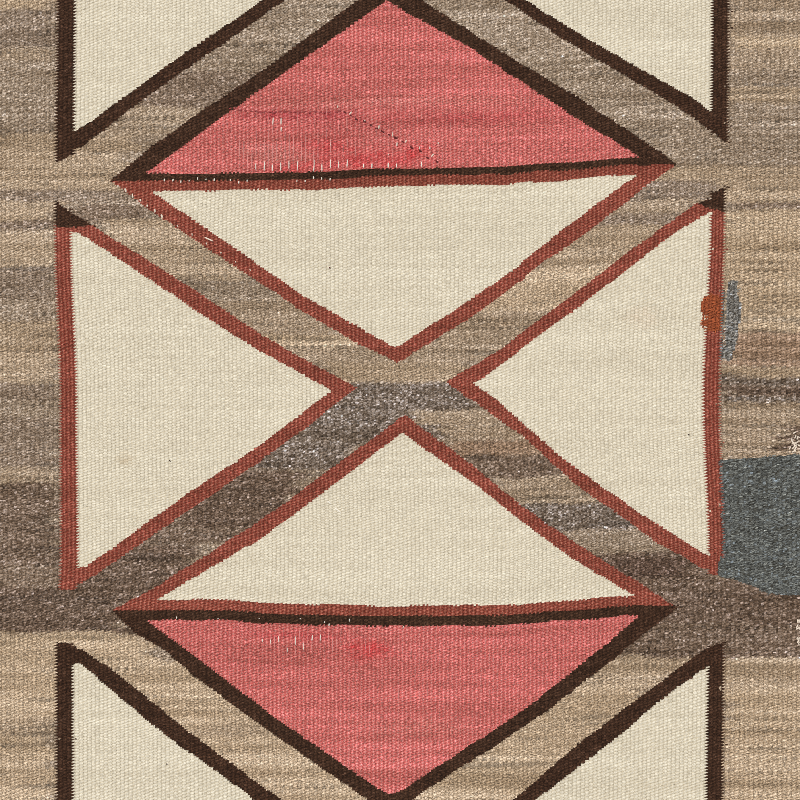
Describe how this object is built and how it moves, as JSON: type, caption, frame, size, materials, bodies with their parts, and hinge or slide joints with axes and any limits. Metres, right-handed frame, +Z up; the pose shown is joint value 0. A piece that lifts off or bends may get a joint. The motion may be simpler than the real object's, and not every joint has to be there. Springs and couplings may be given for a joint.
{
  "type": "navajo rug, cut length",
  "caption": "Flat cut length of a hand-woven wool tapestry rug with outlined triangles and crossed bands on a streaked grey-brown ground, for covering a floor.",
  "frame": {"origin": "on the floor, under the middle of the rug", "axes": "+Z up from the floor through the rug, +Y along the warp yarns towards the top of the pattern, +X along the weft to the right of the pattern"},
  "size_m": [0.6652, 0.6656, 0.0032],
  "materials": {
    "ground_wool": "matte carded grey-brown wool, streaked",
    "cream_wool": "matte undyed cream wool",
    "red_wool": "matte brick-red dyed wool",
    "dark_wool": "matte brown-black wool",
    "rose_wool": "matte faded rose-red dyed wool",
    "mend_wool": "matte darning yarn in blue-grey and orange",
    "warp_wool": "matte undyed warp yarn"
  },
  "bodies": {
    "root": {"rug": "ground_wool"}
  },
  "joints": []
}
